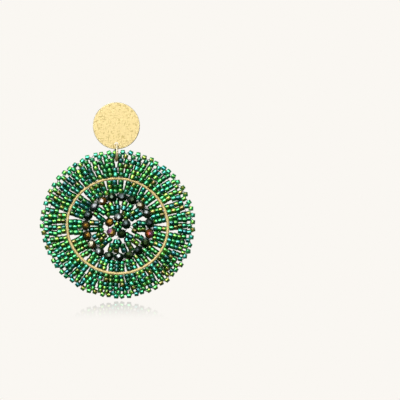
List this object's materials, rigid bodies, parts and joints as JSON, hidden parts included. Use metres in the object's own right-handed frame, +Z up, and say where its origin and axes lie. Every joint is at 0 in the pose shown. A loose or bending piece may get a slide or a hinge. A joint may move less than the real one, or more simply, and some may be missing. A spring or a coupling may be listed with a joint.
{
  "type": "beaded drop earring",
  "caption": "Drop earring: gold disc post stud, jump ring and a woven disc of green cylinder beads round a gold hoop, with a ring and flower of faceted beads.",
  "frame": {"origin": "on the post's axis, at the back face of the stud disc, where it meets the ear", "axes": "+Z up along the hanging earring, +Y along the post into the ear, the face looks along -Y"},
  "size_m": [0.0497, 0.0139, 0.0628],
  "materials": {
    "stud_gold": "matt brushed pale gold",
    "link_gold": "polished gold wire",
    "hoop_gold": "satin gold wire",
    "seed_glass": "transparent emerald glass with a rainbow lustre",
    "facet_glass": "fire-polished near-black green glass with a half coat of gold and violet lustre",
    "thread": "fine dark green beading thread"
  },
  "bodies": {
    "stud": {"ear_stud": "stud_gold"},
    "link": {"jump_ring": "link_gold"},
    "drop": {"gold_hoop": "hoop_gold", "outer_bead_band": "seed_glass", "middle_bead_band": "seed_glass", "inner_bead_band": "seed_glass", "ring_thread": "thread", "flower_thread": "thread", "ring_bead_1": "facet_glass", "ring_bead_2": "facet_glass", "ring_bead_3": "facet_glass", "ring_bead_4": "facet_glass", "ring_bead_5": "facet_glass", "ring_bead_6": "facet_glass", "ring_bead_7": "facet_glass", "ring_bead_8": "facet_glass", "ring_bead_9": "facet_glass", "ring_bead_10": "facet_glass", "ring_bead_11": "facet_glass", "ring_bead_12": "facet_glass", "ring_bead_13": "facet_glass", "ring_bead_14": "facet_glass", "ring_bead_15": "facet_glass", "ring_bead_16": "facet_glass", "ring_bead_17": "facet_glass", "ring_bead_18": "facet_glass", "ring_bead_19": "facet_glass", "flower_bead_1": "facet_glass", "flower_bead_2": "facet_glass", "flower_bead_3": "facet_glass", "flower_bead_4": "facet_glass", "flower_bead_5": "facet_glass"}
  },
  "joints": [
    {"name": "ring_swing", "type": "hinge", "parent": "stud", "child": "link", "pos_m": [0, -0.0004, -0.00595], "axis": [0, 1, 0], "range_deg": [-10, 10]},
    {"name": "drop_swing", "type": "hinge", "parent": "link", "child": "drop", "pos_m": [0, -0.0004, -0.00855], "axis": [0.9936, 0.1132, 0], "range_deg": [-60, 60]}
  ]
}
